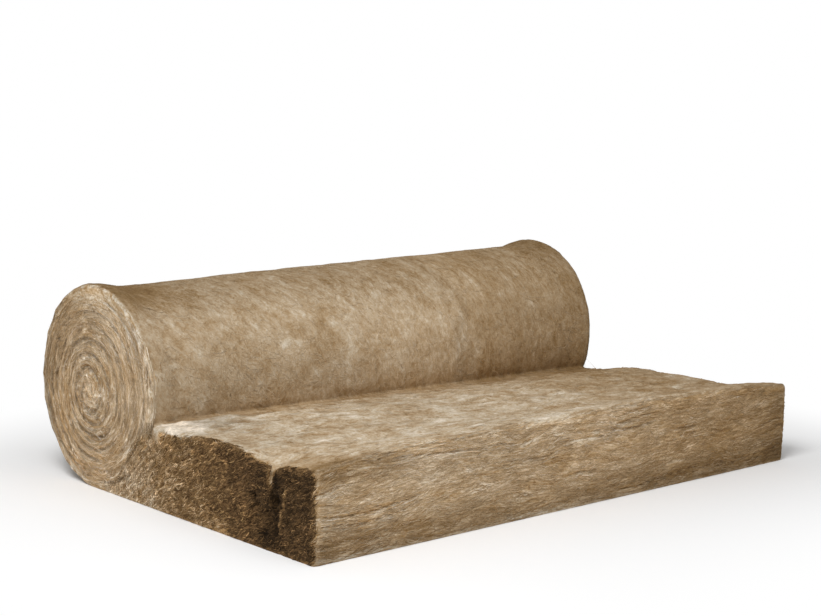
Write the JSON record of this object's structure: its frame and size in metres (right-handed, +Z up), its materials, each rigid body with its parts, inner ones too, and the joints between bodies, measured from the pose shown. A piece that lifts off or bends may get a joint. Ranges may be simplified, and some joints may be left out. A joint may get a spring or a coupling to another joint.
{
  "type": "insulation roll",
  "caption": "Half-unrolled blanket of brown mineral wool: an upright oval roll with spiral turns on both ends, flowing into a thick free tail flat on the floor.",
  "frame": {"origin": "on the floor under the middle of the whole blanket's box", "axes": "+X along the roll's axis and the blanket's width, +Y from the free tail's front edge towards the back of the roll, +Z up"},
  "size_m": [1.2, 0.8794, 0.383],
  "materials": {
    "wool": "matte fibrous mineral wool, natural brown binder"
  },
  "bodies": {
    "root": {"wool_blanket": "wool"}
  },
  "joints": []
}
